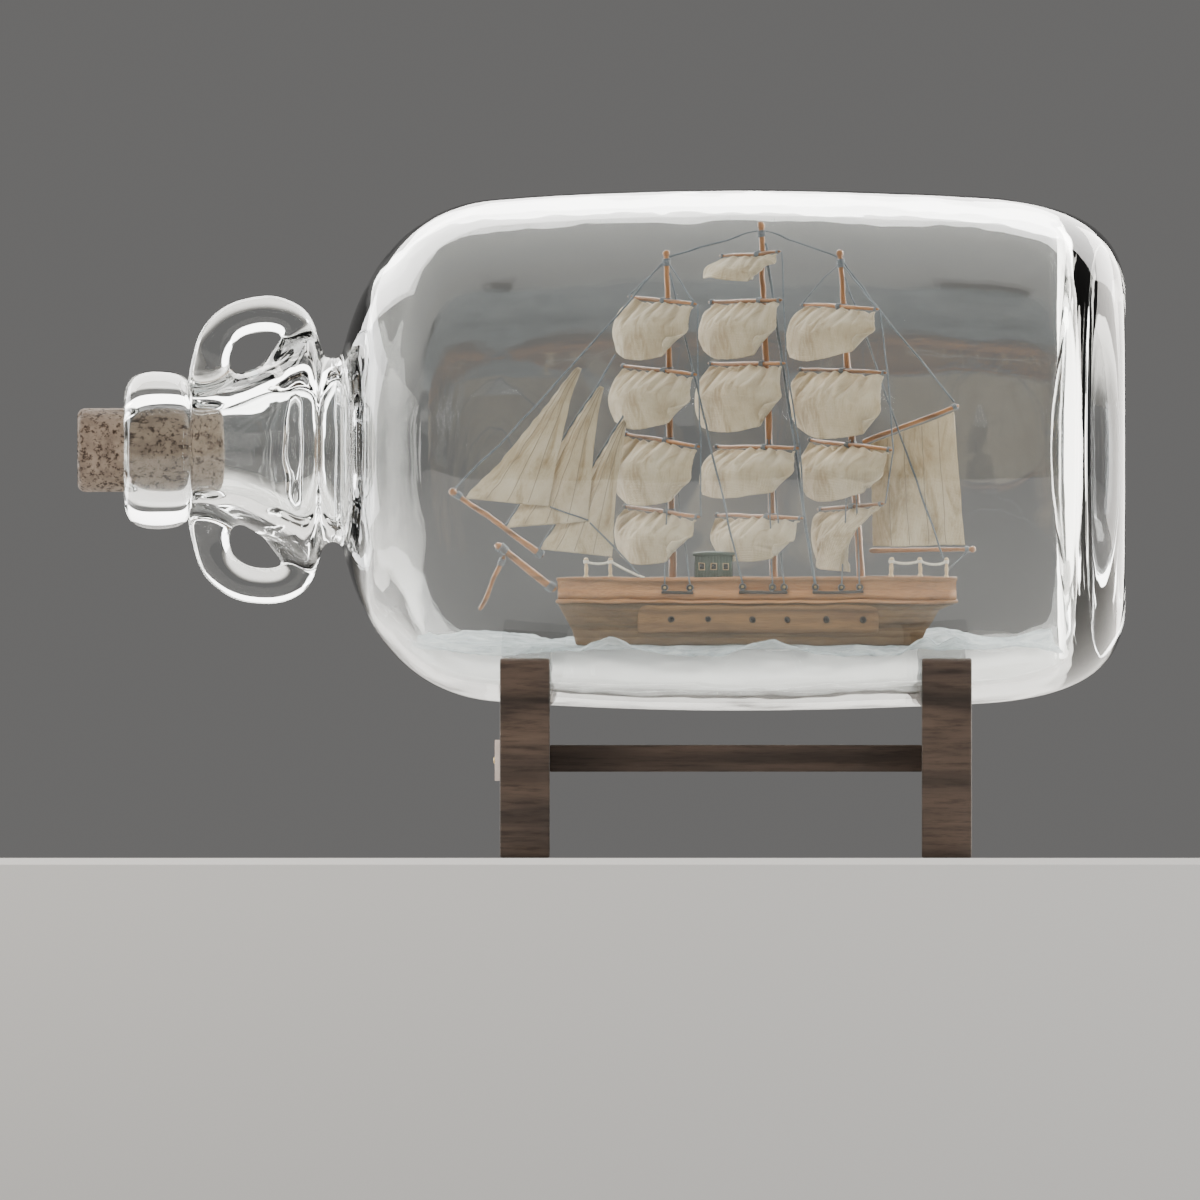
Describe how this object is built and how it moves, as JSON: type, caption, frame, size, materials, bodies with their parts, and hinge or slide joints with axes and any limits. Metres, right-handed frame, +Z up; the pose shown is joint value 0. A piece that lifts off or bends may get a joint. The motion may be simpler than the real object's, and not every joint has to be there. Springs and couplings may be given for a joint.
{
  "type": "ship in a bottle",
  "caption": "Three-masted sailing ship with cloth sails on a sheet of sea inside a corked glass jug, lying in a wooden cradle stand.",
  "frame": {"origin": "underside of the stand, half way along the jug with its cork, on the jug's centre plane", "axes": "+X along the jug from its cork to its base (the ship's bow points to -X), +Z up"},
  "size_m": [0.3144, 0.1566, 0.2007],
  "materials": {
    "glass": "clear hand-blown glass",
    "cork": "natural cork with dark pits",
    "stand_wood": "dark stained wood, matte, open grain",
    "plaque": "pale satin plate with no lettering",
    "brass": "satin",
    "sea": "thin crumpled translucent sheet",
    "hull_light": "satin varnished light wood",
    "hull_dark": "dark olive-brown stained wood",
    "house_paint": "dark green-grey paint on wood",
    "spar_wood": "varnished orange-brown wood",
    "dark_fitting": "blackened wood",
    "sailcloth": "unbleached cotton, plain weave",
    "thread": "blue-grey waxed thread",
    "white_rope": "white cotton thread"
  },
  "bodies": {
    "stand": {"left_cradle_board": "stand_wood", "right_cradle_board": "stand_wood", "stretcher": "stand_wood", "name_plaque": "plaque", "plaque_pins": "brass"},
    "jug": {"jug_neck": "glass", "jug_shoulder": "glass", "jug_body": "glass", "jug_base": "glass", "upper_ear_handle": "glass", "lower_ear_handle": "glass", "sea_sheet": "sea", "lower_hull": "hull_dark", "upper_strake": "hull_light", "rubbing_strake": "hull_light", "side_panels": "hull_dark", "deck": "hull_light", "deck_house": "house_paint", "portholes": "dark_fitting", "bow_rail_posts": "spar_wood", "stern_rail_posts": "spar_wood", "rail_ropes": "white_rope", "channels": "dark_fitting", "deadeyes": "dark_fitting", "fore_mast": "spar_wood", "main_mast": "spar_wood", "mizzen_mast": "spar_wood", "bowsprit": "spar_wood", "jib_boom": "spar_wood", "martingale": "spar_wood", "gaff": "spar_wood", "spanker_boom": "spar_wood", "fore_yards": "spar_wood", "main_yards": "spar_wood", "mizzen_yards": "spar_wood", "lashings": "thread", "fore_royal": "sailcloth", "fore_topgallant": "sailcloth", "fore_topsail": "sailcloth", "fore_course": "sailcloth", "main_skysail": "sailcloth", "main_royal": "sailcloth", "main_topgallant": "sailcloth", "main_topsail": "sailcloth", "main_course": "sailcloth", "mizzen_royal": "sailcloth", "mizzen_topgallant": "sailcloth", "mizzen_topsail": "sailcloth", "crossjack": "sailcloth", "flying_jib": "sailcloth", "outer_jib": "sailcloth", "inner_jib": "sailcloth", "spanker": "sailcloth", "head_stays": "thread", "mast_stays": "thread", "shrouds": "thread", "backstays": "thread", "yard_lifts": "thread", "sheets": "thread"},
    "cork": {"cork": "cork"}
  },
  "joints": [
    {"name": "bottle_lift", "type": "slide", "parent": "stand", "child": "jug", "axis": [0, 0, 1], "range_m": [0, 0.08]},
    {"name": "cork_pull", "type": "slide", "parent": "jug", "child": "cork", "axis": [-1, 0, 0], "range_m": [0, 0.06]}
  ]
}
